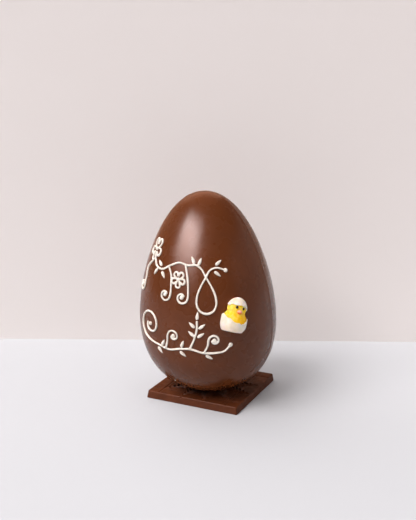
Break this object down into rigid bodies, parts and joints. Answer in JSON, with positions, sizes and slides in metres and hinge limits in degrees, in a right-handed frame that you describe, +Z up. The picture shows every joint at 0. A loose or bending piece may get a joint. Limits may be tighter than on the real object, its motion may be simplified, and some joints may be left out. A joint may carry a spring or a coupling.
{
  "type": "chocolate egg",
  "caption": "Large glossy moulded chocolate egg stood on a square moulded chocolate plaque, with a white chocolate vine piped on its front and a small sugar chick in a broken eggshell.",
  "frame": {"origin": "middle of the plaque's flat underside, on the surface that the piece stands on", "axes": "+Z up; +X to the right along the plaque's front edge; +Y to the back; the piped front of the egg faces -Y"},
  "size_m": [0.139, 0.14, 0.2099],
  "materials": {
    "milk_chocolate": "tempered milk chocolate out of a polished mould, mid brown and glossy with faint ripples",
    "white_chocolate": "piped white chocolate, warm white with a soft satin gloss, on the front of the node egg",
    "plaque_chocolate": "moulded milk chocolate, satin, with softly cast lines and leaf ribs and a few air bubbles",
    "shell_sugar": "moulded sugar paste, cream white and matt, with a slightly grainy skin",
    "yellow_sugar": "moulded sugar paste, clear yellow with paler streaks and a deeper orange yellow low on the chest",
    "pink_sugar": "hand-painted sugar, pinkish orange",
    "dark_sugar": "dots of dark food colour with a wet gloss"
  },
  "bodies": {
    "root": {"egg": "milk_chocolate", "plaque": "plaque_chocolate", "chick_body": "yellow_sugar", "chick_shell_cup": "shell_sugar", "chick_shell_cap": "shell_sugar", "chick_beak": "pink_sugar", "chick_eye_left": "dark_sugar", "chick_eye_right": "dark_sugar"}
  },
  "joints": []
}
